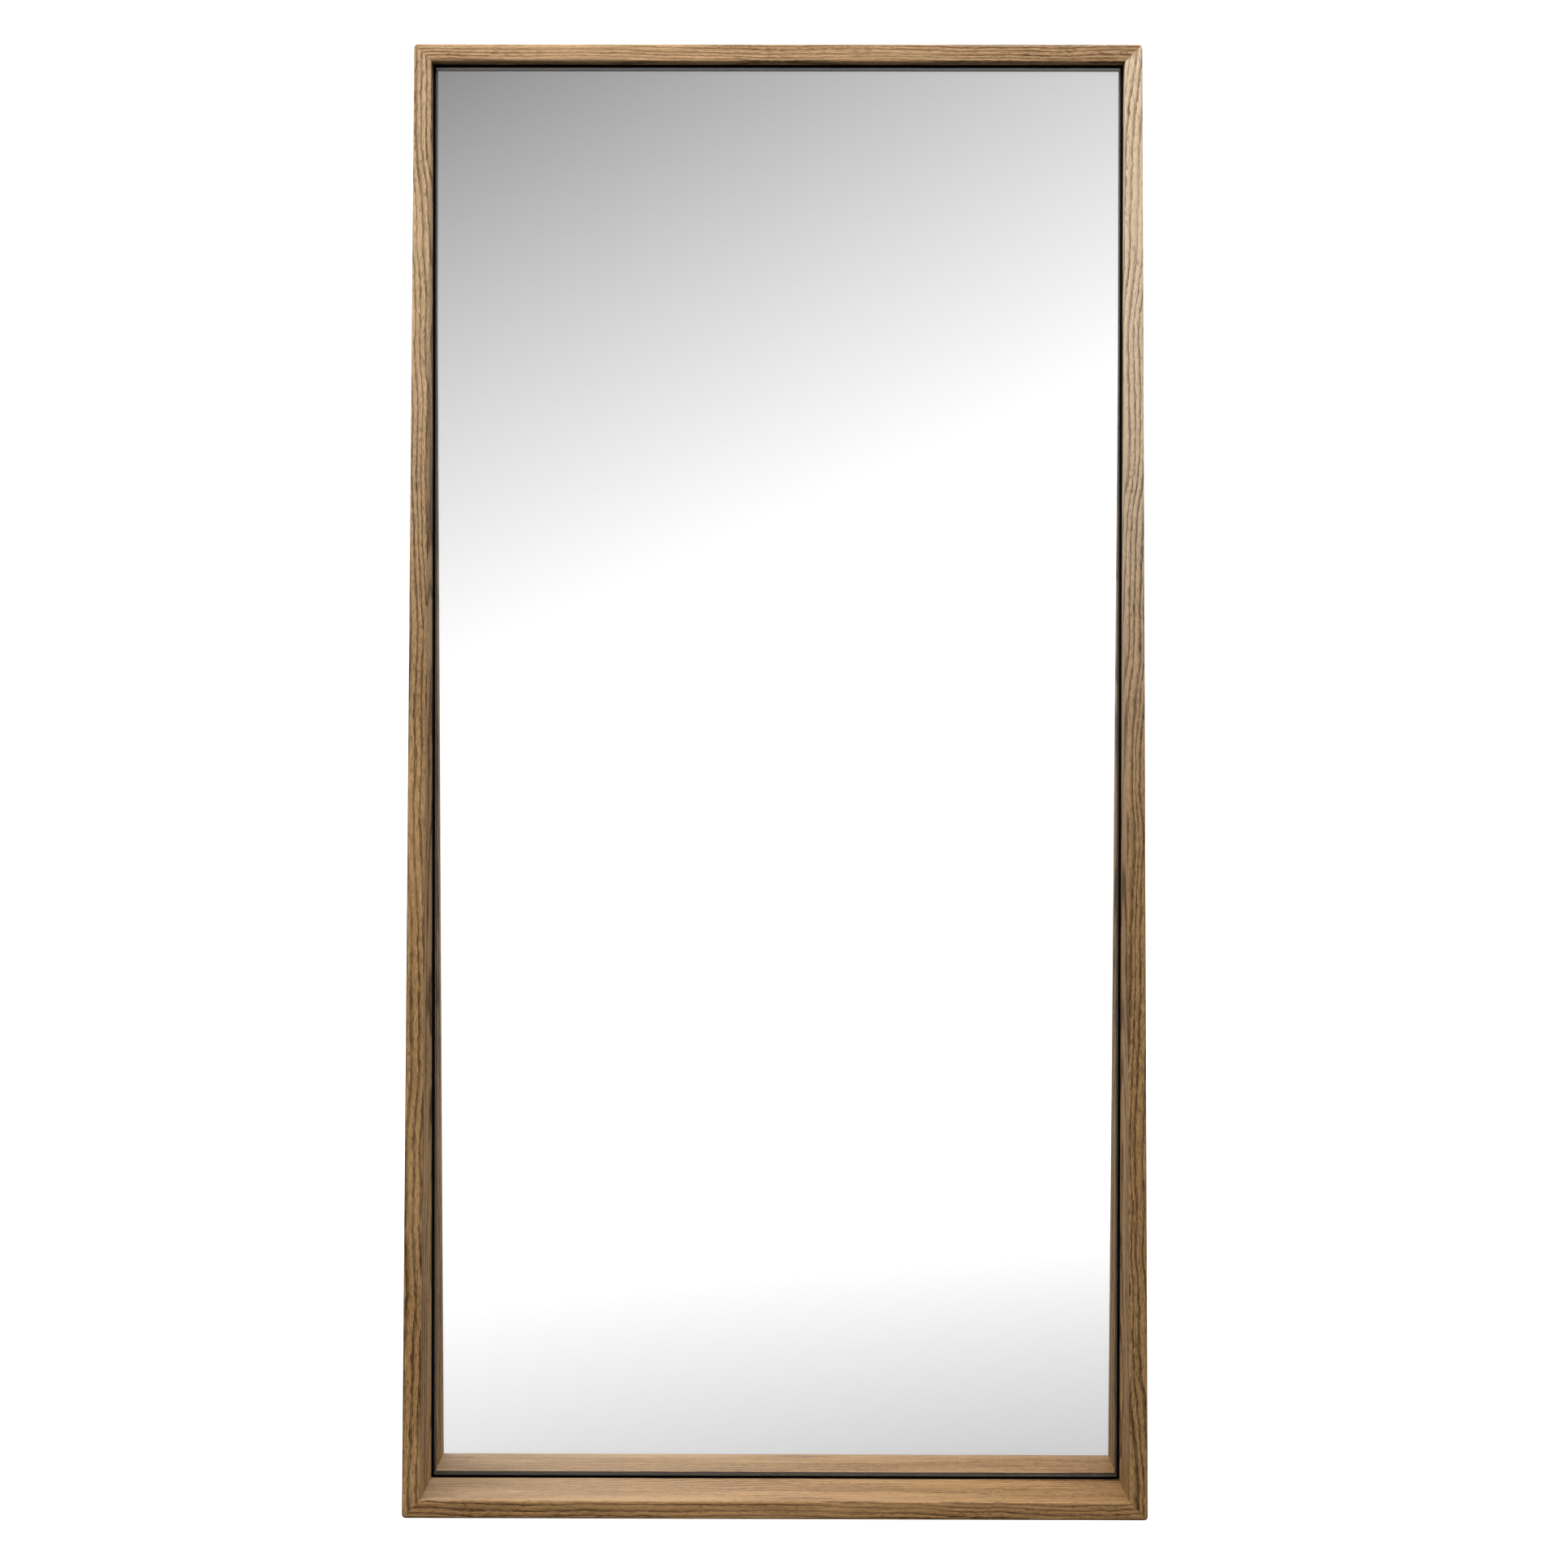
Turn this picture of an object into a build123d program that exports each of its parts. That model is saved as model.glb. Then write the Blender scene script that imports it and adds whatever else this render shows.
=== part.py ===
from build123d import *
import os

# A full-length floor mirror. Its mitred wooden frame is a wedge in side view: shallow at the top
# and deep at the bottom, so the glass lies well back behind a wide bottom ledge.
# Millimetres, +Z up, X across, the mirror faces -Y. The origin is on the floor, midway across and
# midway from the front of the foot to the wall bumpers.

# Frame
WIDTH = 900.0
HEIGHT = 1800.0
FACE = 22.0                # thickness of the four members, as seen from the front
DEPTH_FOOT = 130.0
DEPTH_TOP = 50.0
CORNER_RADIUS = 4.5        # the frame's outer corners, seen from the front
OUTER_ARRIS = 2.5          # rounding of the front edges
INNER_ARRIS = 2.0

# Rubber feet and bumpers
PAD_THICKNESS = 3.0
PAD_RADIUS = 14.0
PAD_X = 400.0              # pads, from the centre line
PAD_FRONT_INSET = 28.0     # pad centre behind the foot's front edge
PAD_REAR_INSET = 18.0      # pad centre ahead of the frame's back
BUMPER_THICKNESS = 2.0
BUMPER_RADIUS = 8.0
BUMPER_END = 45.0          # bumper centre from the frame's top and foot
RUBBER_ROUNDING = 0.8

# Glass and what it is bonded to, from front to back
GLASS_GAP = 3.0            # shadow gap all round
GLASS_THICKNESS = 4.6
GLASS_ARRIS = 0.8
LAYER_THICKNESS = 0.2      # silver, and safety film, each
TAPE_THICKNESS = 1.0
TAPE_WIDTH = 25.0
TAPE_COUNT = 5
TAPE_PITCH = 185.0
TAPE_END = 60.0            # tape stops this far short of the glass's ends
BOARD_THICKNESS = 9.0
BOARD_PLAY = 0.5
BATTEN_DEPTH = 16.0
BATTEN_WIDTH = 30.0
BRACE_HEIGHT = 40.0
BACK_RECESS = 6.0          # battens' back face, ahead of the frame's back

# Biscuits across the mitres: length, width, thickness
LOWER_BISCUIT = (47.0, 15.0, 4.0)
UPPER_BISCUIT = (32.0, 13.0, 4.0)
BISCUIT_TIP = 1.5          # cut off each pointed end
LOWER_BISCUIT_SHARES = (0.27, 0.73)    # of the foot's depth, ahead of the back

# Screws
SHANK_RADIUS = 1.75
HEAD_RADIUS = 3.5
HEAD_HEIGHT = 1.8
RECESS_SPAN = 4.0          # cross recess in the head
RECESS_SLOT = 0.9
RECESS_DEPTH = 1.0
TIP_LENGTH = 4.0
TIP_RADIUS = 0.2
BATTEN_SCREW = 42.0
BOARD_SCREW = 21.0
METAL_SCREW = 14.0         # under the head, through brackets and hanger plates
CLEARANCE_RADIUS = 1.9     # holes in the brackets and plates
STILE_SCREW_PITCH = 250.0
RAIL_SCREW_PITCH = 180.0
BATTEN_SCREW_COUNTS = (6, 3)    # sideways into each stile, and into each rail
BOARD_SCREW_COUNTS = (7, 4)     # up each side batten, and along each cross batten or brace

# Corner brackets
BRACKET_LEG = 60.0
BRACKET_WIDTH = 16.0
BRACKET_THICKNESS = 2.0
BRACKET_ROUNDING = 2.0
BRACKET_HOLES = (34.0, 50.0)   # from the bracket's outer corner along each leg

# Hangers: a strap with a rolled eye, and a D-shaped wire ring that swings in it
HANGER_Z = 1500.0          # eye's axis
STRAP_WIDTH = 16.0
STRAP_LENGTH = 38.0
STRAP_THICKNESS = 1.5
STRAP_END_RADIUS = 7.2
STRAP_HOLES = (10.0, 28.0)     # below the eye's axis
WIRE_RADIUS = 2.0
EYE_CLEARANCE = 0.08
EYE_OFFSET = 3.9           # eye's axis, off the batten
RING_WIDTH = 26.0          # wire centre lines
RING_DROP = 20.0
RING_EYE_CORNER = 3.0
RING_FREE_CORNER = 8.0

# Levels worked out from the dimensions above
FOOT_Z = PAD_THICKNESS
TOP_Z = FOOT_Z + HEIGHT
MIDDLE_Z = (FOOT_Z + TOP_Z) / 2
OPENING_X = WIDTH / 2 - FACE
OPENING_Z = (FOOT_Z + FACE, TOP_Z - FACE)
BACK_Y = (DEPTH_FOOT - BUMPER_THICKNESS) / 2
FRONT_FOOT_Y = BACK_Y - DEPTH_FOOT
FRONT_TOP_Y = BACK_Y - DEPTH_TOP
BATTEN_Y = (BACK_Y - BACK_RECESS - BATTEN_DEPTH, BACK_Y - BACK_RECESS)
BOARD_Y = (BATTEN_Y[0] - BOARD_THICKNESS, BATTEN_Y[0])
TAPE_Y = (BOARD_Y[0] - TAPE_THICKNESS, BOARD_Y[0])
FILM_Y = (TAPE_Y[0] - LAYER_THICKNESS, TAPE_Y[0])
SILVER_Y = (FILM_Y[0] - LAYER_THICKNESS, FILM_Y[0])
GLASS_Y = (SILVER_Y[0] - GLASS_THICKNESS, SILVER_Y[0])
GLASS_X = OPENING_X - GLASS_GAP
GLASS_Z = (OPENING_Z[0] + GLASS_GAP, OPENING_Z[1] - GLASS_GAP)
BATTEN_X = OPENING_X - BATTEN_WIDTH           # inner face of the side battens
BATTEN_LINE_X = OPENING_X - BATTEN_WIDTH / 2  # middle of the side battens
BATTEN_LINE_Z = HEIGHT / 2 - FACE - BATTEN_WIDTH / 2  # middle of the end battens, from MIDDLE_Z
BRACKET_CORNER_X = BATTEN_LINE_X + BRACKET_WIDTH / 2
BRACKET_CORNER_Z = BATTEN_LINE_Z + BRACKET_WIDTH / 2  # from MIDDLE_Z
BRACE_Z = {"lower_brace": FOOT_Z + HEIGHT / 3, "upper_brace": FOOT_Z + HEIGHT * 2 / 3}
LOWER_BISCUIT_Y = [BACK_Y - DEPTH_FOOT * share for share in LOWER_BISCUIT_SHARES]
UPPER_BISCUIT_Y = [BACK_Y - DEPTH_TOP / 2]

SIDES = {"left": -1, "right": 1}
LEVELS = {"lower": -1, "upper": 1}


def block(x, y, z):
    """A box between a low and a high limit on each axis."""
    size = [high - low for low, high in (x, y, z)]
    middle = [(high + low) / 2 for low, high in (x, y, z)]
    return Pos(*middle) * Box(*size)


def placed(shape, point, direction):
    """A shape moved so that its own +Z points along direction from point."""
    return Plane(origin=point, z_dir=direction).location * shape


def evenly(pitch, count):
    """Positions at one pitch, centred on zero."""
    return [pitch * (i - (count - 1) / 2) for i in range(count)]


def front_face(shape):
    """The flat face that is furthest forward."""
    return shape.faces().filter_by(GeomType.PLANE).sort_by(Axis.Y)[0]


def frame_blank():
    """All four members before they are cut apart: a wedge with one opening and soft front edges."""
    side_view = Polyline(
        (BACK_Y, FOOT_Z), (BACK_Y, TOP_Z), (FRONT_TOP_Y, TOP_Z), (FRONT_FOOT_Y, FOOT_Z), close=True
    )
    wedge = extrude(Plane.YZ * make_face(side_view), WIDTH / 2, both=True)
    wedge = fillet(wedge.edges().filter_by(Axis.Y), CORNER_RADIUS)
    wedge = fillet(front_face(wedge).edges(), OUTER_ARRIS)
    opening = block((-OPENING_X, OPENING_X), (FRONT_FOOT_Y - 1, BACK_Y + 1), OPENING_Z)
    blank = wedge - opening
    rim = front_face(blank).inner_wires()[0]
    return fillet(rim.edges(), INNER_ARRIS)


def member(blank, side, along):
    """One member, cut from the blank by the 45 degree planes through the frame's corners."""
    outer, inner = -FACE / 2, FACE * 3 / 2
    outline = ((outer, -1), (inner, -1), (inner, 1), (outer, 1))
    if along == "height":
        points = [(side * (WIDTH / 2 - inset), MIDDLE_Z + end * (HEIGHT / 2 - inset))
                  for inset, end in outline]
    else:
        points = [(end * (WIDTH / 2 - inset), MIDDLE_Z + side * (HEIGHT / 2 - inset))
                  for inset, end in outline]
    cutter = extrude(Plane.XZ * make_face(Polyline(*points, close=True)), DEPTH_FOOT, both=True)
    return blank & cutter


def biscuit(size, side, level, y):
    """A lens-shaped wafer across the mitre at one corner, its length along Y."""
    length, width, thickness = size
    sagitta = width / 2
    radius = length ** 2 / (8 * sagitta) + sagitta / 2
    arcs = [Pos(0, sign * (radius - sagitta)) * Circle(radius) for sign in (-1, 1)]
    outline = arcs[0] & arcs[1] & Rectangle(length - 2 * BISCUIT_TIP, width)
    inset = FACE / 2
    point = (side * (WIDTH / 2 - inset), y, MIDDLE_Z + level * (HEIGHT / 2 - inset))
    plane = Plane(origin=point, x_dir=(0, 1, 0), z_dir=(-side, 0, -level))
    return extrude(plane * outline, thickness / 2, both=True)


def all_biscuits():
    """Each corner's biscuits: two in the deep lower mitres, one in the shallow upper ones."""
    rows = {"lower": (LOWER_BISCUIT, LOWER_BISCUIT_Y), "upper": (UPPER_BISCUIT, UPPER_BISCUIT_Y)}
    corners = {}
    for level, (size, places) in rows.items():
        for side, sign in SIDES.items():
            corners[f"{level}_{side}_biscuits"] = [
                biscuit(size, sign, LEVELS[level], y) for y in places
            ]
    return corners


def wood_screw(length):
    """A pan-head wood screw, head up, the head's underside at its own origin."""
    head = Pos(0, 0, HEAD_HEIGHT / 2) * Cylinder(HEAD_RADIUS, HEAD_HEIGHT)
    head = fillet(head.edges().sort_by(Axis.Z)[-1], HEAD_HEIGHT / 2)
    depth = 2 * RECESS_DEPTH
    cross = Box(RECESS_SPAN, RECESS_SLOT, depth) + Box(RECESS_SLOT, RECESS_SPAN, depth)
    head -= Pos(0, 0, HEAD_HEIGHT) * cross
    shank = Pos(0, 0, -(length - TIP_LENGTH) / 2) * Cylinder(SHANK_RADIUS, length - TIP_LENGTH)
    tip = Pos(0, 0, -length + TIP_LENGTH / 2) * Rot(180, 0, 0) * Cone(SHANK_RADIUS, TIP_RADIUS, TIP_LENGTH)
    return head + shank + tip


def batten_screws():
    """Screws sideways through the battens into the stiles and rails."""
    screw = wood_screw(BATTEN_SCREW)
    y = sum(BATTEN_Y) / 2
    inner_z = BATTEN_LINE_Z - BATTEN_WIDTH / 2
    per_stile, per_rail = BATTEN_SCREW_COUNTS
    screws = []
    for sign in (-1, 1):
        for z in evenly(STILE_SCREW_PITCH, per_stile):
            screws.append(placed(screw, (sign * BATTEN_X, y, MIDDLE_Z + z), (-sign, 0, 0)))
        for x in evenly(RAIL_SCREW_PITCH, per_rail):
            screws.append(placed(screw, (x, y, MIDDLE_Z + sign * inner_z), (0, 0, -sign)))
    return Compound(children=screws)


def board_screws():
    """Screws from the back, through the battens and braces into the backing board."""
    screw = wood_screw(BOARD_SCREW)
    per_side, per_row = BOARD_SCREW_COUNTS
    places = [(side * BATTEN_LINE_X, MIDDLE_Z + z)
              for side in SIDES.values() for z in evenly(STILE_SCREW_PITCH, per_side)]
    rows = [MIDDLE_Z - BATTEN_LINE_Z, *BRACE_Z.values(), MIDDLE_Z + BATTEN_LINE_Z]
    places += [(x, z) for z in rows for x in evenly(RAIL_SCREW_PITCH, per_row)]
    return Compound(children=[placed(screw, (x, BATTEN_Y[1], z), (0, 1, 0)) for x, z in places])


def sub_frame():
    """The softwood battens and braces behind the backing board."""
    pieces = {
        f"{name}_batten": block(sorted((side * BATTEN_X, side * OPENING_X)), BATTEN_Y, OPENING_Z)
        for name, side in SIDES.items()
    }
    span = (-BATTEN_X, BATTEN_X)
    pieces["bottom_batten"] = block(span, BATTEN_Y, (OPENING_Z[0], OPENING_Z[0] + BATTEN_WIDTH))
    pieces["top_batten"] = block(span, BATTEN_Y, (OPENING_Z[1] - BATTEN_WIDTH, OPENING_Z[1]))
    for name, z in BRACE_Z.items():
        pieces[name] = block(span, BATTEN_Y, (z - BRACE_HEIGHT / 2, z + BRACE_HEIGHT / 2))
    return pieces


def mirror_glass():
    """The float glass, its front edges ground to a small arris."""
    glass = block((-GLASS_X, GLASS_X), GLASS_Y, GLASS_Z)
    front = glass.faces().sort_by(Axis.Y)[0]
    return chamfer(front.edges(), GLASS_ARRIS)


def layer(y):
    """A thin layer of the glass's own size."""
    return block((-GLASS_X, GLASS_X), y, GLASS_Z)


def tape_strips():
    """Upright strips of mounting tape between the film and the board."""
    z = (GLASS_Z[0] + TAPE_END, GLASS_Z[1] - TAPE_END)
    return {
        f"tape_strip_{number}": block((x - TAPE_WIDTH / 2, x + TAPE_WIDTH / 2), TAPE_Y, z)
        for number, x in enumerate(evenly(TAPE_PITCH, TAPE_COUNT), start=1)
    }


def backing_board():
    """The board that fills the opening behind the glass."""
    x = OPENING_X - BOARD_PLAY
    return block((-x, x), BOARD_Y, (OPENING_Z[0] + BOARD_PLAY, OPENING_Z[1] - BOARD_PLAY))


def bracket_screw_places(side, level):
    """Where one bracket's screws go, as X and Z."""
    half = BRACKET_WIDTH / 2
    on_end_batten = [(BRACKET_CORNER_X - step, BRACKET_CORNER_Z - half) for step in BRACKET_HOLES]
    on_side_batten = [(BRACKET_CORNER_X - half, BRACKET_CORNER_Z - step) for step in BRACKET_HOLES]
    return [(side * x, MIDDLE_Z + level * z) for x, z in on_end_batten + on_side_batten]


def corner_bracket(side, level):
    """A flat steel L across one corner of the sub-frame, drilled for four screws."""
    outline = [(BRACKET_CORNER_X - across, BRACKET_CORNER_Z - down) for across, down in (
        (0, 0), (BRACKET_LEG, 0), (BRACKET_LEG, BRACKET_WIDTH), (BRACKET_WIDTH, BRACKET_WIDTH),
        (BRACKET_WIDTH, BRACKET_LEG), (0, BRACKET_LEG))]
    points = [(side * x, MIDDLE_Z + level * z) for x, z in outline]
    face = Plane.XZ * make_face(Polyline(*points, close=True))
    plate = Pos(0, BATTEN_Y[1] + BRACKET_THICKNESS / 2, 0) * extrude(face, BRACKET_THICKNESS / 2, both=True)
    plate = fillet(plate.edges().filter_by(Axis.Y), BRACKET_ROUNDING)
    hole = Cylinder(CLEARANCE_RADIUS, 4 * BRACKET_THICKNESS)
    for x, z in bracket_screw_places(side, level):
        plate -= placed(hole, (x, BATTEN_Y[1], z), (0, 1, 0))
    return plate


def bracket_screws():
    """The screws of all four brackets."""
    screw = wood_screw(METAL_SCREW)
    y = BATTEN_Y[1] + BRACKET_THICKNESS
    return Compound(children=[
        placed(screw, (x, y, z), (0, 1, 0))
        for side in SIDES.values() for level in LEVELS.values()
        for x, z in bracket_screw_places(side, level)
    ])


def hanger_plate(x):
    """A steel strap with two screw holes and a rolled eye at its upper end."""
    y = (BATTEN_Y[1], BATTEN_Y[1] + STRAP_THICKNESS)
    half = STRAP_WIDTH / 2
    strap = block((x - half, x + half), y, (HANGER_Z - STRAP_LENGTH, HANGER_Z))
    foot = strap.edges().filter_by(Axis.Y).sort_by(Axis.Z)[:2]
    strap = fillet(foot, STRAP_END_RADIUS)
    axis_point = (x, BATTEN_Y[1] + EYE_OFFSET, HANGER_Z)
    bore_radius = WIRE_RADIUS + EYE_CLEARANCE
    eye = placed(Cylinder(bore_radius + STRAP_THICKNESS, STRAP_WIDTH), axis_point, (1, 0, 0))
    bore = placed(Cylinder(bore_radius, 2 * STRAP_WIDTH), axis_point, (1, 0, 0))
    hole = Cylinder(CLEARANCE_RADIUS, 4 * STRAP_THICKNESS)
    plate = strap + eye - bore
    for drop in STRAP_HOLES:
        plate -= placed(hole, (x, BATTEN_Y[1], HANGER_Z - drop), (0, 1, 0))
    return plate


def hanger_ring(x):
    """A D-shaped wire ring hanging from the eye, its straight bar on the eye's axis."""
    y = BATTEN_Y[1] + EYE_OFFSET
    half = RING_WIDTH / 2
    outline = FilletPolyline(
        (-half, 0), (half, 0), (half, -RING_DROP), (-half, -RING_DROP), close=True,
        radius=[RING_EYE_CORNER, RING_EYE_CORNER, RING_FREE_CORNER, RING_FREE_CORNER],
    )
    route = Plane(origin=(x, y, HANGER_Z), x_dir=(1, 0, 0), z_dir=(0, -1, 0)) * outline
    section = Plane(origin=route @ 0, z_dir=route % 0) * Circle(WIRE_RADIUS)
    return sweep(section, path=route)


def hanger_screws():
    """Both hanger plates' screws."""
    screw = wood_screw(METAL_SCREW)
    y = BATTEN_Y[1] + STRAP_THICKNESS
    return Compound(children=[
        placed(screw, (side * BATTEN_LINE_X, y, HANGER_Z - drop), (0, 1, 0))
        for side in SIDES.values() for drop in STRAP_HOLES
    ])


def rubber_disc(radius, thickness):
    """A disc standing on its own origin, its free rim rounded."""
    disc = Pos(0, 0, thickness / 2) * Cylinder(radius, thickness)
    return fillet(disc.edges().sort_by(Axis.Z)[-1], RUBBER_ROUNDING)


def wall_bumper(side, level):
    """A rubber disc on the back of a stile."""
    z = MIDDLE_Z + level * (HEIGHT / 2 - BUMPER_END)
    disc = rubber_disc(BUMPER_RADIUS, BUMPER_THICKNESS)
    return placed(disc, (side * (WIDTH - FACE) / 2, BACK_Y, z), (0, 1, 0))


def floor_pad(side, y):
    """A rubber disc under the bottom rail."""
    disc = rubber_disc(PAD_RADIUS, PAD_THICKNESS)
    return placed(disc, (side * PAD_X, y, FOOT_Z), (0, 0, -1))


def frame_pieces():
    """The four frame members with their biscuit slots, and the biscuits."""
    blank = frame_blank()
    members = {
        "left_stile": member(blank, -1, "height"),
        "right_stile": member(blank, 1, "height"),
        "bottom_rail": member(blank, -1, "width"),
        "top_rail": member(blank, 1, "width"),
    }
    corners = all_biscuits()
    cuts = [wafer for wafers in corners.values() for wafer in wafers]
    pieces = {name: shape - cuts for name, shape in members.items()}
    pieces.update({name: Compound(children=wafers) for name, wafers in corners.items()})
    return pieces


def all_pieces():
    """Every node of the mirror, by name."""
    pieces = frame_pieces()
    pieces.update(sub_frame())
    pieces["batten_screws"] = batten_screws()
    pieces["backing_board"] = backing_board()
    pieces["board_screws"] = board_screws()
    pieces.update(tape_strips())
    pieces["mirror_glass"] = mirror_glass()
    pieces["silver_layer"] = layer(SILVER_Y)
    pieces["safety_film"] = layer(FILM_Y)
    for level, up in LEVELS.items():
        for name, side in SIDES.items():
            pieces[f"{level}_{name}_bracket"] = corner_bracket(side, up)
            pieces[f"{level}_{name}_bumper"] = wall_bumper(side, up)
    pieces["bracket_screws"] = bracket_screws()
    for name, side in SIDES.items():
        pieces[f"{name}_hanger_plate"] = hanger_plate(side * BATTEN_LINE_X)
        pieces[f"{name}_hanger_ring"] = hanger_ring(side * BATTEN_LINE_X)
        pieces[f"front_{name}_pad"] = floor_pad(side, FRONT_FOOT_Y + PAD_FRONT_INSET)
        pieces[f"rear_{name}_pad"] = floor_pad(side, BACK_Y - PAD_REAR_INSET)
    pieces["hanger_screws"] = hanger_screws()
    return pieces


os.makedirs("parts", exist_ok=True)
for node, shape in all_pieces().items():
    export_step(shape, f"parts/{node}.step")
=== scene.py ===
import math

import bpy
import numpy as np
from mathutils import Matrix, Vector


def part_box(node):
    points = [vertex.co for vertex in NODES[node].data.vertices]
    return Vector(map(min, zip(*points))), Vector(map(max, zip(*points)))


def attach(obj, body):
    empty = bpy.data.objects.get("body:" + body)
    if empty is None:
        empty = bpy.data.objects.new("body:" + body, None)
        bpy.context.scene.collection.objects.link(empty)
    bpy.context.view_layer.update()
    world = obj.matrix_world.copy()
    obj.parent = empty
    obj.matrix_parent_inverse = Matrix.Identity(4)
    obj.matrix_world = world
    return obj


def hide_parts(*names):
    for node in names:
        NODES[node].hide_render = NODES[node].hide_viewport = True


# A full-length floor mirror in a deep, mitred wooden frame. Metres, +Z up, the mirror faces -Y.

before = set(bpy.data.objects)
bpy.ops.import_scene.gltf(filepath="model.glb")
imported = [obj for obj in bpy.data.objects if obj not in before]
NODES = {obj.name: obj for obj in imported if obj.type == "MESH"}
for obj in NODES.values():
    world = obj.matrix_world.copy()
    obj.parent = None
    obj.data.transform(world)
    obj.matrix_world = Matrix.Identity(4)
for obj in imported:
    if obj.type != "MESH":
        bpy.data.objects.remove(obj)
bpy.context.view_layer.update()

BODY = "mirror"

# The frame's own dimensions, read from its CAD pieces
LEFT_LOW, LEFT_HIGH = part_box("left_stile")
FACE = LEFT_HIGH.x - LEFT_LOW.x
HALF_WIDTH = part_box("right_stile")[1].x
FOOT_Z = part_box("bottom_rail")[0].z
TOP_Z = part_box("top_rail")[1].z
HALF_HEIGHT = (TOP_Z - FOOT_Z) / 2
MIDDLE_Z = (TOP_Z + FOOT_Z) / 2
BACK_Y = LEFT_HIGH.y
GLASS_FRONT_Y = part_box("mirror_glass")[0].y
BOARD_BACK_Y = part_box("backing_board")[1].y

# Roundings of the frame's outer corners and of its long edges
CORNER_RADIUS = 0.0045
OUTER_ARRIS = 0.0025
INNER_ARRIS = 0.002
BACK_ARRIS = 0.0006

# The camera: nearly square on, a little right of the middle; its angles are in degrees
CAMERA_PLACE = (0.021, -2.919, 0.905)
CAMERA_LENS = 54.45
CAMERA_PITCH = -0.307
CAMERA_TURN = 0.229
CAMERA_ROLL = -0.118


def rgb(red, green, blue):
    """A solid colour, as nodes take it."""
    return (red, green, blue, 1.0)


def grey(level):
    return rgb(level, level, level)


WHITE = grey(1.0)

# Painted sheen and painted shade on the frame's wood: paler where light falls, near black in the slot
PAINTED_SHEEN_WOOD = rgb(0.70, 0.545, 0.38)
PAINTED_SHEEN_PORES = rgb(0.17, 0.105, 0.055)
LEDGE_SHEEN_WOOD = rgb(0.68, 0.55, 0.4)
SLOT_SHADE_BLACK = rgb(0.004, 0.0035, 0.003)

# How fine each pattern in wood is: per metre across, through and along the grain
SLOW_WANDER = (9.0, 9.0, 5.0)
QUICK_WANDER = (70.0, 70.0, 28.0)
RAGGED_RINGS = (420.0, 420.0, 80.0)
PORE_DASHES = (620.0, 620.0, 60.0)
PORE_SPECKS = (1300.0, 1300.0, 130.0)
BROAD_PATCHES = (30.0, 30.0, 3.4)
FIBRES = (1100.0, 1100.0, 14.0)

# A year's growth from spring to autumn as (share of the year, pores): dark, sharp on one side
YEAR_OF_PORES = ((0.0, 0.0), (0.06, 1.0), (0.28, 1.0), (0.46, 0.18), (1.0, 0.0))


def front_slope():
    """The sloping front as y at the foot of the frame and its rise in y per metre of height."""
    points = np.array([v.co for v in NODES["left_stile"].data.vertices])
    foot = points[points[:, 2] < FOOT_Z + FACE]
    top = points[points[:, 2] > TOP_Z - FACE]
    low = foot[foot[:, 1].argmin()]
    high = top[top[:, 1].argmin()]
    rise = (high[1] - low[1]) / (high[2] - low[2])
    inside_cad = 0.00001
    return low[1] - rise * (low[2] - FOOT_Z) + inside_cad, rise


FRONT_FOOT_Y, FRONT_RISE = front_slope()


# ---------------------------------------------------------------- materials

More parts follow.
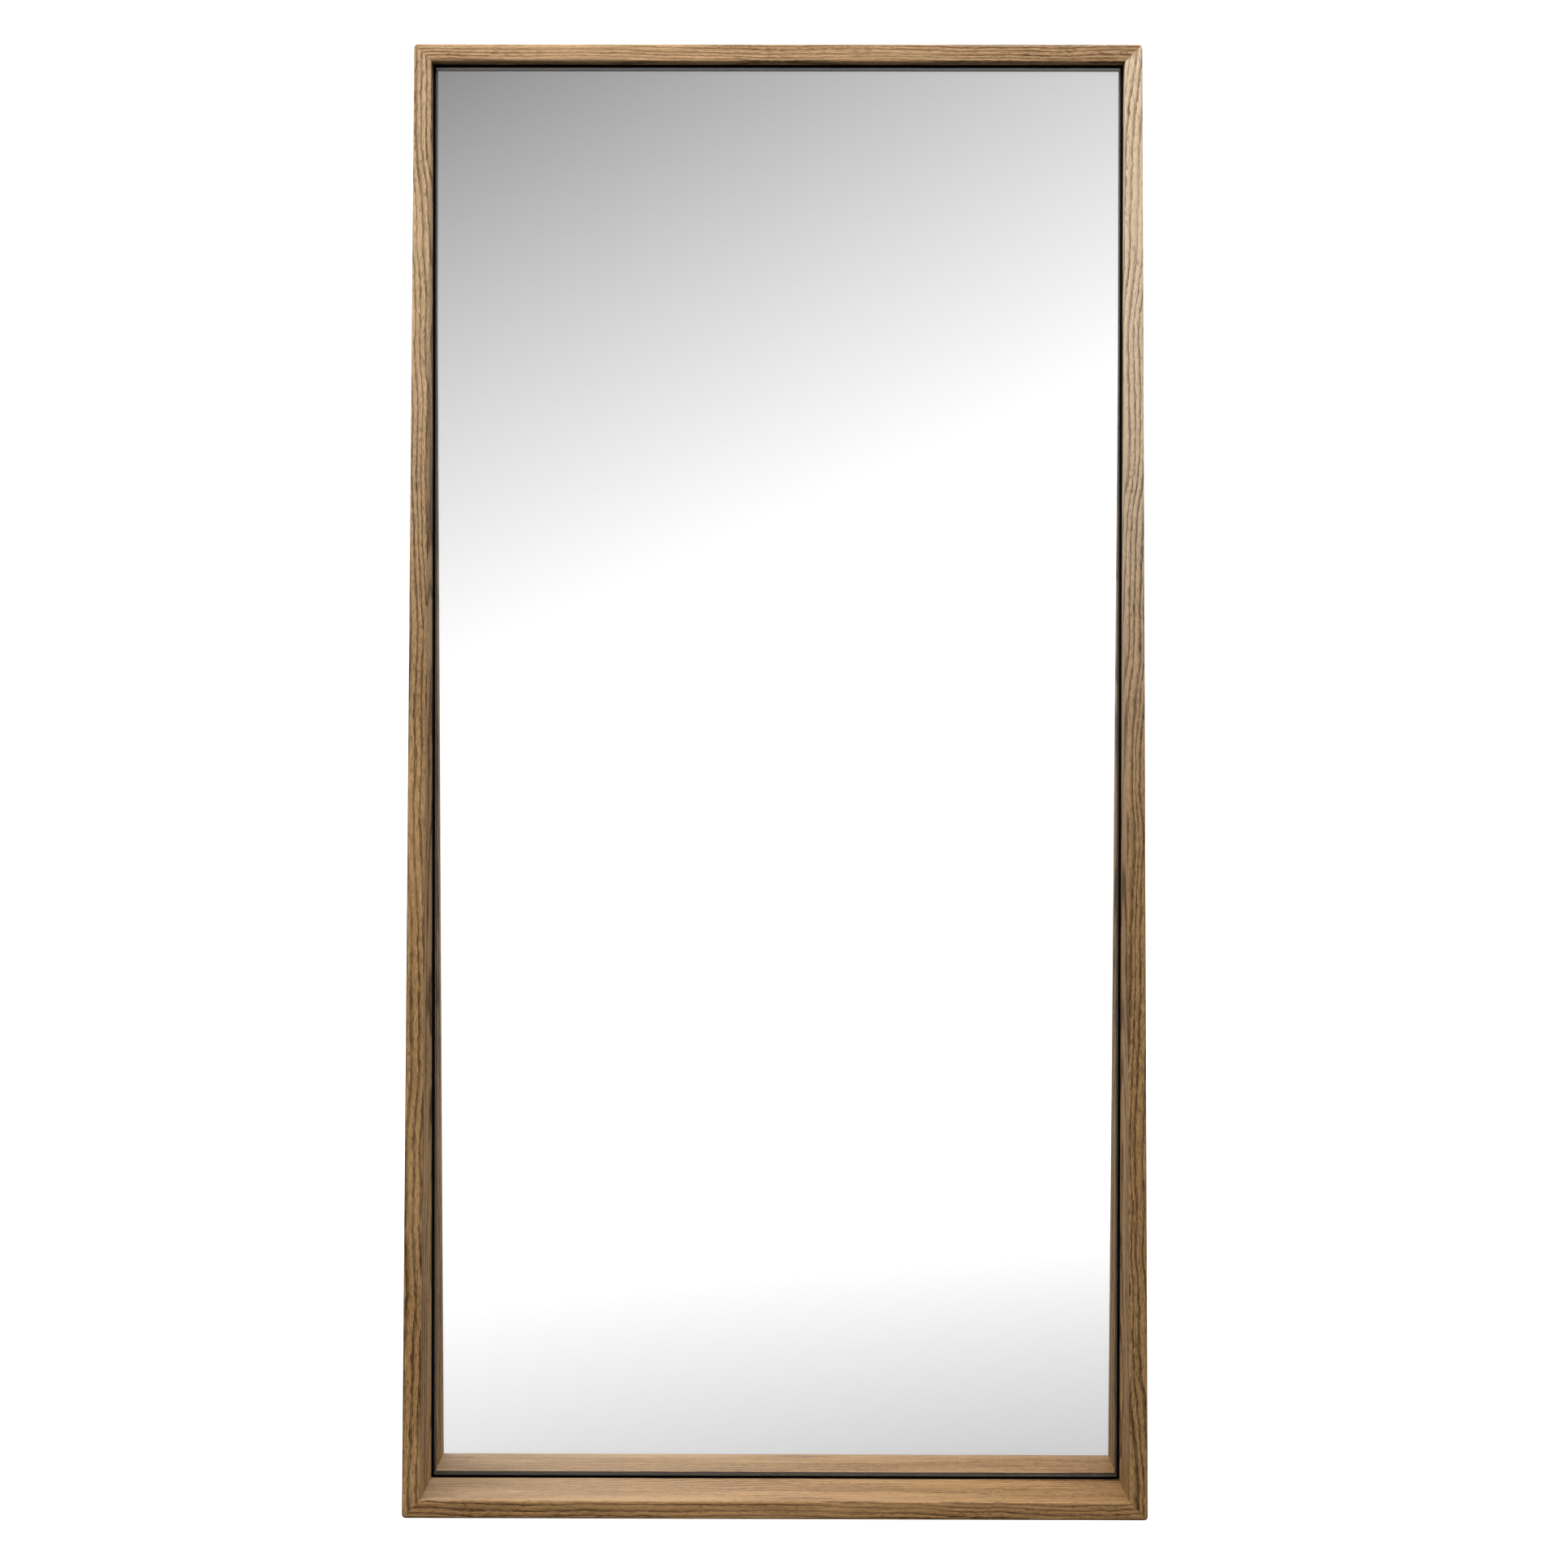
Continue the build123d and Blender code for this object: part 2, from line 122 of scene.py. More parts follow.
class Graph:
    """A material or world node tree with short ways to add and join nodes."""

    def __init__(self, owner):
        owner.use_nodes = True
        self.owner = owner
        self.tree = owner.node_tree
        self.tree.nodes.clear()

    def fill(self, node, inputs):
        """An input is a value, or another node's output to join it to."""
        for key, value in inputs.items():
            if isinstance(value, bpy.types.NodeSocket):
                self.tree.links.new(value, node.inputs[key])
            else:
                node.inputs[key].default_value = value

    def add(self, kind, inputs=None, **settings):
        node = self.tree.nodes.new("ShaderNode" + kind)
        for name, value in settings.items():
            setattr(node, name, value)
        self.fill(node, inputs or {})
        return node

    def math(self, operation, first, second=0.0, third=0.0):
        inputs = {0: first, 1: second, 2: third}
        return self.add("Math", inputs, operation=operation).outputs[0]

    def noise(self, vector, scale, detail=2.0, roughness=0.5, output="Fac"):
        """Noise; scale is one number, or one for each axis."""
        if hasattr(scale, "__len__"):
            stretched = self.add("VectorMath", {0: vector, 1: scale}, operation="MULTIPLY")
            vector, scale = stretched.outputs[0], 1.0
        inputs = {"Vector": vector, "Scale": scale, "Detail": detail, "Roughness": roughness}
        return self.add("TexNoise", inputs).outputs[output]

    def ramp(self, factor, stops):
        """A grey for a factor; stops are (position, grey)."""
        node = self.add("ValToRGB", {"Fac": factor})
        elements = node.color_ramp.elements
        while len(elements) < len(stops):
            elements.new(0.5)
        for element, (position, level) in zip(elements, stops):
            element.position = position
            element.color = grey(level)
        return node.outputs["Color"]

    def mix(self, factor, first, second):
        node = self.add("Mix", data_type="RGBA", blend_type="MIX")
        self.fill(node, {0: factor, 6: first, 7: second})
        return node.outputs[2]

    def span(self, value, low, high, to_low=0.0, to_high=1.0, smooth=True):
        """value moved from one range to another and held inside it."""
        inputs = {0: value, 1: low, 2: high, 3: to_low, 4: to_high}
        kind = "SMOOTHSTEP" if smooth else "LINEAR"
        return self.add("MapRange", inputs, interpolation_type=kind, clamp=True).outputs[0]

    def place(self):
        """Where a point is in the row frame."""
        return self.add("TexCoord").outputs["Object"]

    def split(self, vector):
        """The vector's x, y and z."""
        return self.add("SeparateXYZ", {0: vector}).outputs

    def bump(self, height, distance, strength=1.0):
        inputs = {"Height": height, "Distance": distance, "Strength": strength}
        return self.add("Bump", inputs).outputs["Normal"]

    def surface(self, **inputs):
        """The material's own shader; underscores in the names stand for spaces."""
        named_inputs = {key.replace("_", " "): value for key, value in inputs.items()}
        shader = self.add("BsdfPrincipled", named_inputs)
        self.add("OutputMaterial", {"Surface": shader.outputs[0]})
        return self.owner


def material(name):
    return Graph(bpy.data.materials.new(name))


def grain_axes(g, along):
    """Places across the face, through the depth and along the grain."""
    x, y, z = g.split(g.place())
    if along == "height":
        return x, y, z
    return z, y, x


def on_opening(g, front, back):
    """1 on the opening's own walls between two depths, and 0 elsewhere."""
    x, y, z = g.split(g.place())
    spare = 0.0003
    soft_edge = 0.0006
    height = g.math("ABSOLUTE", g.math("SUBTRACT", z, MIDDLE_Z))
    within = g.math("LESS_THAN", g.math("ABSOLUTE", x), HALF_WIDTH - FACE + spare)
    within = g.math("MULTIPLY", within, g.math("LESS_THAN", height, HALF_HEIGHT - FACE + spare))
    within = g.math("MULTIPLY", within, g.span(y, front - soft_edge, front + soft_edge))
    return g.math("MULTIPLY", within, g.math("LESS_THAN", y, back))


def year_of_growth(g, axes, grain, pith, lean, ring, wave):
    """How far through its year's growth the wood is, from 0 in spring to 1 in autumn.

    The rings are circles about the pith axis. Slow and quick waves bend them, their edges are
    ragged, and no two years are equally wide.
    """
    quick_share = 0.3
    ragged_share = 0.5
    years_vary = 1.6
    across, depth, length = axes
    slow = g.noise(grain, SLOW_WANDER, detail=1.0, output="Color")
    quick = g.noise(grain, QUICK_WANDER, output="Color")
    slow_parts = g.add("SeparateColor", {0: slow}).outputs
    quick_parts = g.add("SeparateColor", {0: quick}).outputs

    def from_pith(place, way):
        offset = g.math("SUBTRACT", place, pith[way])
        offset = g.math("MULTIPLY_ADD", length, lean[way], offset)
        slow_part = g.math("SUBTRACT", slow_parts[way], 0.5)
        offset = g.math("MULTIPLY_ADD", slow_part, 2 * wave, offset)
        quick_part = g.math("SUBTRACT", quick_parts[way], 0.5)
        return g.math("MULTIPLY_ADD", quick_part, wave * quick_share, offset)

    from_x = from_pith(across, 0)
    from_y = from_pith(depth, 1)
    squared = g.math("MULTIPLY_ADD", from_x, from_x, g.math("MULTIPLY", from_y, from_y))
    ragged = g.noise(grain, RAGGED_RINGS, roughness=0.6)
    radius = g.math("MULTIPLY_ADD", ragged, ring * ragged_share, g.math("SQRT", squared))
    uneven = g.noise(g.add("CombineXYZ", {0: radius}).outputs[0], 90.0, detail=1.0)
    years = g.math("MULTIPLY_ADD", uneven, years_vary, g.math("DIVIDE", radius, ring))
    return g.math("FRACT", years)


def pore_cover(g, year, grain, broad):
    """The dark pores: bands of spring pores broken into dashes, and specks between them."""
    dash_depth = 0.45
    lightest_patch = 0.55
    speck_depth = 0.7
    bands = g.ramp(year, YEAR_OF_PORES)
    dashes = g.span(g.noise(grain, PORE_DASHES, detail=3.0, roughness=0.65), 0.34, 0.62)
    heavy = g.span(broad, 0.28, 0.58, lightest_patch, 1.0)
    broken = g.math("MULTIPLY_ADD", dashes, dash_depth, 1 - dash_depth)
    bands = g.math("MULTIPLY", g.math("MULTIPLY", bands, heavy), broken)
    specks = g.span(g.noise(grain, PORE_SPECKS, detail=1.0), 0.53, 0.66, 0.0, speck_depth)
    return g.math("MAXIMUM", bands, g.math("MULTIPLY", specks, heavy))


def timber(name, along, pith, lean, ring, colours, wave=0.008, seed=0.0, pale=None, ledge_sheen=None,
           slot=None):
    """Open-pored wood. The rings are circles about a far, slightly leaning pith axis.

    pith is the axis's place across and through the member, lean how far it drifts per metre along,
    ring the ring spacing, wave how far the rings wander, and seed the place along the tree.
    colours are the light wood, the dark pore lines and the warm streaks.
    pale is (from, to, share): the board turns that much paler between two places along it, a painted sheen
    where the light falls.
    worn is the same for the opening's wall ahead of the glass only; this paler ledge is painted sheen.
    slot is (front, back): inside the opening, the wood between those depths is coloured near black, a
    painted shade for the deep slot behind the glass.
    """
    light, dark, warm = colours
    fibre_shade = 0.55
    fibre_height = 0.22
    g = material(name)
    axes = grain_axes(g, along)
    across, depth, length = axes
    shifted = g.math("ADD", length, seed)
    grain = g.add("CombineXYZ", {0: across, 1: depth, 2: shifted}).outputs[0]
    year = year_of_growth(g, axes, grain, pith, lean, ring, wave)
    broad = g.noise(grain, BROAD_PATCHES)
    pores = pore_cover(g, year, grain, broad)
    fibres = g.noise(grain, FIBRES, detail=3.0, roughness=0.65)

    tone = g.mix(g.span(broad, 0.35, 0.65), light, warm)
    tone = g.mix(g.span(fibres, 0.3, 0.7, 0.0, fibre_shade), tone, dark)
    # Painted sheen: the board turns paler along its length, standing in for the light falling on it.
    if pale:
        start, end, share = pale
        sheen_share = g.span(length, start, end, 0.0, share)
        tone = g.mix(sheen_share, tone, PAINTED_SHEEN_WOOD)
        dark = g.mix(sheen_share, dark, PAINTED_SHEEN_PORES)
    colour = g.mix(pores, tone, dark)
    # Painted sheen: the ledge ahead of the glass turns paler towards one end, standing in for the light on
    # it.
    if ledge_sheen:
        start, end, share = ledge_sheen
        before_front = 0.01
        ledge = on_opening(g, FRONT_FOOT_Y - before_front, GLASS_FRONT_Y)
        sheen_share = g.math("MULTIPLY", g.span(length, start, end, 0.0, share), ledge)
        colour = g.mix(sheen_share, colour, LEDGE_SHEEN_WOOD)
    # Painted shade: the wood in the slot behind the glass's front is coloured near black.
    if slot:
        colour = g.mix(on_opening(g, *slot), colour, SLOT_SHADE_BLACK)

    height = g.math("MULTIPLY_ADD", fibres, fibre_height, g.math("MULTIPLY", pores, -1.0))
    return g.surface(
        Base_Color=colour,
        Roughness=g.span(pores, 0.0, 1.0, 0.55, 0.8),
        Normal=g.bump(height, 0.00022, 0.7),
        Specular_IOR_Level=0.22,
    )


# ---------------------------------------------------------------- mesh helpers

def mesh_piece(name, points, faces, finish, replaced, smooth=True):
    """A piece of the mirror from its corner points and faces, in place of one CAD node."""
    mesh = bpy.data.meshes.new(name)
    mesh.from_pydata([tuple(map(float, p)) for p in points], [], faces)
    mesh.validate()
    if smooth:
        mesh.shade_smooth()
    else:
        mesh.shade_flat()
    piece = bpy.data.objects.new(name, mesh)
    bpy.context.scene.collection.objects.link(piece)
    piece.data.materials.append(finish)
    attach(piece, BODY)
    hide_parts(replaced)
    return piece


def grid_faces(rows, columns):
    """Quads between rows of points, each row closed on itself, and a cap on both ends."""
    faces = []
    for row in range(rows - 1):
        here = row * columns
        above = here + columns
        for column in range(columns):
            beside = (column + 1) % columns
            faces.append((here + column, here + beside, above + beside, above + column))
    faces.append(tuple(reversed(range(columns))))
    faces.append(tuple((rows - 1) * columns + column for column in range(columns)))
    return faces


# ---------------------------------------------------------------- frame members

def member_profile():
    """A member's section as (inset from the outside, share of the way to the back, offset in y)."""
    arc_steps = 6
    wall_steps = 26
    face_steps = 12
    turns = np.linspace(0, math.pi / 2, arc_steps + 1)
    shares = np.linspace(1, 0, wall_steps + 1)[1:-1]
    across = np.linspace(OUTER_ARRIS, FACE - INNER_ARRIS, face_steps + 1)[1:-1]
    profile = [(0.0, 1.0, -BACK_ARRIS)]
    profile += [(0.0, s, (1 - s) * OUTER_ARRIS - s * BACK_ARRIS) for s in shares]
    for turn in turns:
        inset = OUTER_ARRIS * (1 - math.cos(turn))
        profile.append((inset, 0.0, OUTER_ARRIS * (1 - math.sin(turn))))
    profile += [(inset, 0.0, 0.0) for inset in across]
    for turn in turns:
        inset = FACE - INNER_ARRIS * (1 - math.sin(turn))
        profile.append((inset, 0.0, INNER_ARRIS * (1 - math.cos(turn))))
    profile += [(FACE, s, (1 - s) * INNER_ARRIS - s * BACK_ARRIS) for s in reversed(shares)]
    profile.append((FACE, 1.0, -BACK_ARRIS))
    profile.append((FACE - BACK_ARRIS, 1.0, 0.0))
    profile.append((BACK_ARRIS, 1.0, 0.0))
    return np.array(profile)


def stations(half_length):
    """Places along a member as shares of its half length, closer together at the mitres."""
    pitch = 0.004
    even_from = 0.006
    near_mitre = np.array([0.0, 0.00018, 0.0006, 0.0011, 0.0016, 0.0022, 0.003, 0.0042])
    count = int((half_length - even_from) / pitch)
    even = np.linspace(1 - even_from / half_length, 0, count)
    half = np.concatenate([1 - near_mitre / half_length, even])
    return np.concatenate([-half, half[-2::-1]])


def wander(places, wavelengths, seed):
    """A slow, smooth wobble between 0 and 1."""
    random = np.random.default_rng(seed)
    total = sum(np.sin(2 * math.pi * (places / w + random.random())) for w in wavelengths)
    return 0.5 + 0.5 * total / len(wavelengths)


def sanded(inset, share):
    """How much sanding takes at each point of the section: most at the two front arrises."""
    reach = 0.002
    peak = 0.4
    outer = np.exp(-((inset - OUTER_ARRIS * peak) / reach) ** 2)
    inner = np.exp(-((inset - FACE + INNER_ARRIS * peak) / reach) ** 2)
    return (outer + inner) * (share == 0)


def member(name, along, side, finish, seed):
    """One frame member: the wedge's section run between its two mitres, its arrises eased by hand."""
    sanding = 0.00035
    hand_waves = (0.31, 0.13, 0.057)
    mitre_groove = 0.00016
    upright = along == "height"
    half_run, half_cross = (HALF_HEIGHT, HALF_WIDTH) if upright else (HALF_WIDTH, HALF_HEIGHT)
    profile = member_profile()
    inset, share, offset = profile.T
    places = stations(half_run)
    wobble = wander(places * half_run, hand_waves, seed)
    eased = sanded(inset, share)
    corner = np.maximum(CORNER_RADIUS - inset, 0)
    cut = corner * (1 - math.sqrt(0.5))
    rows = []
    for place, ease in zip(places, wobble):
        run = (half_run - inset - cut) * place
        straight = half_run - inset - corner
        past = np.clip(np.abs(run) - straight, 0, corner)
        pulled = corner - np.sqrt(np.maximum(corner ** 2 - past ** 2, 0))
        cross = half_cross - inset - pulled
        dent = offset + sanding * ease * eased
        if abs(place) == 1:
            dent = dent + mitre_groove * (share == 0)
            cross = cross - mitre_groove * (inset == 0) + mitre_groove * (inset == FACE)
        if upright:
            x, z = side * cross, MIDDLE_Z + run
        else:
            x, z = run, MIDDLE_Z + side * cross
        front = FRONT_FOOT_Y + FRONT_RISE * (z - FOOT_Z)
        y = (1 - share) * front + share * BACK_Y + dent
        rows.append(np.stack([x, y, z], axis=1))
    points = np.concatenate(rows)
    faces = grid_faces(len(rows), len(profile))
    if (side > 0) == upright:
        faces = [tuple(reversed(face)) for face in faces]
    mesh_piece("wood_" + name, points, faces, finish, name)


def build_frame():
    """The two stiles and two rails, each cut from its own board."""
    softer = (rgb(0.53, 0.335, 0.165), rgb(0.075, 0.032, 0.012), rgb(0.46, 0.28, 0.128))
    redder = (rgb(0.49, 0.285, 0.118), rgb(0.055, 0.021, 0.006), rgb(0.40, 0.22, 0.08))
    brighter = (rgb(0.56, 0.34, 0.145), rgb(0.055, 0.023, 0.006), rgb(0.45, 0.255, 0.095))
    deeper = (rgb(0.47, 0.285, 0.12), rgb(0.052, 0.022, 0.006), rgb(0.41, 0.235, 0.09))
    # slot marks where the wood is coloured near black: painted shade in the slot behind the glass.
    slot = (GLASS_FRONT_Y, BOARD_BACK_Y)
    # The stiles' pale is painted sheen, paler towards their tops.
    left = timber("left_stile_wood", "height", pith=(-HALF_WIDTH - 0.085, 0.03), lean=(0.035, 0.02),
                  ring=0.0066, colours=brighter, wave=0.013, pale=(0.8, 1.45, 0.3), slot=slot)
    right = timber("right_stile_wood", "height", pith=(HALF_WIDTH + 0.07, 0.02), lean=(-0.045, 0.03),
                   ring=0.0066, colours=deeper, wave=0.013, seed=5.2, pale=(0.7, 1.5, 0.85), slot=slot)
    top = timber("top_rail_wood", "width", pith=(TOP_Z + 0.07, 0.035), lean=(0.01, 0.0),
                 ring=0.0046, colours=softer, seed=7.1, slot=slot)
    # The bottom rail's paler ledge, towards its left end, is painted sheen.
    bottom = timber("bottom_rail_wood", "width", pith=(FOOT_Z - 0.13, 0.09), lean=(0.02, 0.01),
                    ring=0.0036, colours=redder, wave=0.009, seed=11.9, ledge_sheen=(0.35, -0.3, 0.2), slot=slot)
    member("left_stile", "height", -1, left, seed=1)
    member("right_stile", "height", 1, right, seed=2)
    member("top_rail", "width", 1, top, seed=3)
    member("bottom_rail", "width", -1, bottom, seed=4)


build_frame()


# ---------------------------------------------------------------- glass and silver

def glass_material():
    """Clear glass, very slightly grey."""
    g = material("float_glass")
    haze = g.noise(g.place(), 2.0)
    return g.surface(
        Base_Color=g.mix(haze, rgb(0.988, 0.989, 0.988), rgb(0.99, 0.991, 0.99)),
        Roughness=0.0,
        Transmission_Weight=1.0,
        IOR=1.52,
    )


def ground_edge_material():
    """The glass's ground edges: dark grey, with fine grinding lines."""
    g = material("ground_glass_edge")
    lines = g.noise(g.place(), (900.0, 2500.0, 900.0))
    return g.surface(
        Base_Color=g.mix(lines, rgb(0.042, 0.038, 0.033), rgb(0.07, 0.063, 0.055)),
        Roughness=g.span(lines, 0.2, 0.8, 0.35, 0.55),
        Normal=g.bump(lines, 0.00003),
        Specular_IOR_Level=0.5,
    )


def silver_material():
    """The mirror's silver, seen through the glass."""
    g = material("silver")
    cloud = g.noise(g.place(), 3.0)
    return g.surface(
        Base_Color=g.mix(cloud, grey(0.935), grey(0.945)),
        Metallic=1.0,
        Roughness=0.0,
    )


def glass_outline(shrink, y):
    """The sheet's outline at one depth, inside its edges by shrink, its corners slightly rounded."""
    low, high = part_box("mirror_glass")
    steps = 4
    corner_radius, least_radius = 0.0012, 0.0002
    radius = max(corner_radius - shrink, least_radius)
    edges = ((high.x, high.z, 1, 1), (low.x, high.z, -1, 1), (low.x, low.z, -1, -1), (high.x, low.z, 1, -1))
    points = []
    for turn, (edge_x, edge_z, side_x, side_z) in enumerate(edges):
        centre_x = edge_x - side_x * (shrink + radius)
        centre_z = edge_z - side_z * (shrink + radius)
        for step in range(steps + 1):
            angle = math.pi / 2 * (turn + step / steps)
            x = centre_x + radius * math.cos(angle)
            z = centre_z + radius * math.sin(angle)
            points.append((x, y, z))
    return points


def build_glass():
    """The sheet of glass: polished faces, a ground arris all round, and ground edges."""
    low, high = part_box("mirror_glass")
    arris = 0.0008
    air_before_silver = 0.00002
    back = high.y - air_before_silver
    rows = [
        glass_outline(arris, low.y),
        glass_outline(0.0, low.y + arris),
        glass_outline(0.0, back - arris / 2),
        glass_outline(arris / 2, back),
    ]
    points = [point for row in rows for point in row]
    faces = grid_faces(len(rows), len(rows[0]))
    sheet = mesh_piece("glass_sheet", points, faces, glass_material(), "mirror_glass",
                       smooth=False)
    sheet.data.materials.append(ground_edge_material())
    flat_on = 0.99
    for polygon in sheet.data.polygons:
        polygon.material_index = 0 if abs(polygon.normal.y) > flat_on else 1


build_glass()


# ---------------------------------------------------------------- the rest of the CAD pieces

def dress(finish, *names):
    """Gives CAD nodes their material."""
    for name in names:
        slots = NODES[name].data.materials
        slots.clear()
        slots.append(finish)


def named(*endings):
    """The nodes whose names end in one of these."""
    return [name for name in NODES if name.endswith(endings)]


def board_material():
    """Fibreboard, painted black on its front and its rim."""
    paint_fades = BOARD_BACK_Y - 0.0012
    paint_ends = BOARD_BACK_Y - 0.0006
    g = material("fibreboard")
    _, depth, _ = g.split(g.place())
    fuzz = g.noise(g.place(), (700.0, 700.0, 700.0), detail=4.0, roughness=0.7)
    cloud = g.noise(g.place(), 5.0, detail=3.0)
    brown = g.mix(fuzz, rgb(0.17, 0.105, 0.055), rgb(0.33, 0.22, 0.125))
    brown = g.mix(g.span(cloud, 0.3, 0.7, 0.0, 0.3), brown, rgb(0.2, 0.13, 0.07))
    unpainted = g.span(depth, paint_fades, paint_ends)
    paint = g.mix(fuzz, grey(0.004), grey(0.009))
    return g.surface(
        Base_Color=g.mix(unpainted, paint, brown),
        Roughness=g.span(fuzz, 0.2, 0.8, 0.75, 0.95),
        Normal=g.bump(fuzz, 0.00008),
        Specular_IOR_Level=0.25,
    )


def steel_material(name, scratch, pale, deep, rough):
    """Zinc-plated steel: mottled plating with fine rubbed lines."""
    g = material(name)
    mottle = g.noise(g.place(), 260.0, detail=3.0, roughness=0.6)
    lines = g.noise(g.place(), scratch)
    return g.surface(
        Base_Color=g.mix(mottle, deep, pale),
        Metallic=1.0,
        Roughness=g.span(lines, 0.25, 0.75, rough - 0.07, rough + 0.1),
        Normal=g.bump(g.math("ADD", lines, mottle), 0.00002),
    )


def rubber_material():
    """Black moulded rubber with a fine pebbled skin."""
    g = material("rubber")
    pebble = g.noise(g.place(), 2200.0)
    return g.surface(
        Base_Color=g.mix(pebble, grey(0.012), grey(0.03)),
        Roughness=g.span(pebble, 0.2, 0.8, 0.6, 0.8),
        Normal=g.bump(pebble, 0.00005),
    )


def film_material():
    """Grey woven safety film."""
    g = material("safety_film")
    weave = g.noise(g.place(), (500.0, 500.0, 500.0))
    return g.surface(
        Base_Color=g.mix(weave, rgb(0.5, 0.52, 0.54), rgb(0.62, 0.64, 0.66)),
        Roughness=g.span(weave, 0.2, 0.8, 0.3, 0.45),
        Normal=g.bump(weave, 0.00002),
    )


def tape_material():
    """Off-white foam tape."""
    g = material("foam_tape")
    cells = g.noise(g.place(), 1500.0, detail=3.0, roughness=0.7)
    return g.surface(
        Base_Color=g.mix(cells, rgb(0.42, 0.42, 0.4), rgb(0.72, 0.72, 0.7)),
        Roughness=g.span(cells, 0.2, 0.8, 0.8, 0.95),
        Normal=g.bump(cells, 0.0001),
    )


def dress_nodes():
    """Every CAD node that no other mesh replaces gets its material."""
    pine = (rgb(0.60, 0.42, 0.23), rgb(0.40, 0.23, 0.095), rgb(0.56, 0.37, 0.18))
    beech = (rgb(0.52, 0.34, 0.20), rgb(0.33, 0.19, 0.095), rgb(0.48, 0.30, 0.165))
    upright = timber("pine_upright", "height", pith=(0.1, 0.16), lean=(0.01, 0.01), ring=0.0045,
                     colours=pine, seed=2.0)
    level = timber("pine_level", "width", pith=(0.3, 0.15), lean=(0.02, 0.01), ring=0.0045,
                   colours=pine, seed=5.0)
    biscuits = timber("beech", "width", pith=(0.2, 0.1), lean=(0.0, 0.0), ring=0.0025,
                      colours=beech, seed=1.0)
    plated = steel_material("zinc_steel", scratch=(400.0, 400.0, 3000.0), pale=rgb(0.72, 0.72, 0.74),
                            deep=rgb(0.5, 0.5, 0.53), rough=0.36)
    screws = steel_material("zinc_screws", scratch=(2500.0, 500.0, 2500.0), pale=rgb(0.74, 0.68, 0.48),
                            deep=rgb(0.55, 0.48, 0.3), rough=0.3)
    dress(upright, "left_batten", "right_batten")
    dress(level, "top_batten", "bottom_batten", "upper_brace", "lower_brace")
    dress(biscuits, *named("_biscuits"))
    dress(silver_material(), "silver_layer")
    dress(film_material(), "safety_film")
    dress(board_material(), "backing_board")
    dress(tape_material(), *[name for name in NODES if name.startswith("tape_strip_")])
    dress(rubber_material(), *named("_pad", "_bumper"))
    dress(plated, *named("_bracket", "_hanger_plate", "_hanger_ring"))
    dress(screws, *named("_screws"))


dress_nodes()


# ---------------------------------------------------------------- stage

STUDIO_WHITE = 1.2


def studio_rays(g):
    """What is seen, straight or in the mirror, and what is seen in the mirror only, as 1 or 0 each."""
    ray = g.add("LightPath").outputs
    mirrored = g.math("MAXIMUM", ray["Is Transmission Ray"], ray["Is Singular Ray"])
    return g.math("MAXIMUM", mirrored, ray["Is Camera Ray"]), mirrored


def floor_paint():
    """Pale paint, seen as white as the studio by its own glow.

    In the mirror the glow is less towards the mirror's foot and towards the right: a painted shade on the
    floor, seen only in the mirror.
    """
    far_y, near_y, most_grey = -2.45, -0.1, 0.66
    half_span, left_share, right_share = 0.6, 0.7, 1.03
    g = material("floor_paint")
    seen, mirrored = studio_rays(g)
    x, y, _ = g.split(g.place())
    # Painted shade: seen in the mirror, the floor greys towards the mirror's foot and towards the right.
    ahead = g.span(y, far_y, near_y, 0.0, most_grey, smooth=False)
    beside = g.span(x, -half_span, half_span, left_share, right_share, smooth=False)
    shaded = g.math("MULTIPLY", g.math("MULTIPLY", ahead, beside), mirrored)
    glow = g.math("MULTIPLY_ADD", shaded, -STUDIO_WHITE, STUDIO_WHITE)
    cloud = g.noise(g.place(), 0.6)
    paint = g.mix(cloud, grey(0.115), grey(0.125))
    diffuse = g.add("BsdfDiffuse", {"Color": paint})
    emission = g.add("Emission", {"Color": WHITE, "Strength": g.math("MULTIPLY", seen, glow)})
    both = g.add("AddShader", {0: diffuse.outputs[0], 1: emission.outputs[0]})
    g.add("OutputMaterial", {"Surface": both.outputs[0]})
    g.owner.cycles.emission_sampling = "NONE"
    return g.owner


def build_floor():
    """A plain, pale, very large floor."""
    reach = 30.0
    cells = 12
    ticks = np.linspace(-reach, reach, cells + 1)
    points = [(x, y, 0.0) for y in ticks for x in ticks]
    wide = cells + 1
    corners = [row * wide + column for row in range(cells) for column in range(cells)]
    faces = [(c, c + 1, c + wide + 1, c + wide) for c in corners]
    mesh = bpy.data.meshes.new("floor")
    mesh.from_pydata(points, [], faces)
    mesh.materials.append(floor_paint())
    floor = bpy.data.objects.new("floor", mesh)
    bpy.context.scene.collection.objects.link(floor)


def area_light(name, place, target, size, power):
    """A soft rectangular light, width by height, aimed at a point."""
    data = bpy.data.lights.new(name, "AREA")
    data.shape = "RECTANGLE"
    data.size, data.size_y = size
    data.energy = power
    light = bpy.data.objects.new(name, data)
    light.location = place
    aim = Vector(target) - Vector(place)
    light.rotation_euler = aim.to_track_quat("-Z", "Y").to_euler()
    bpy.context.scene.collection.objects.link(light)


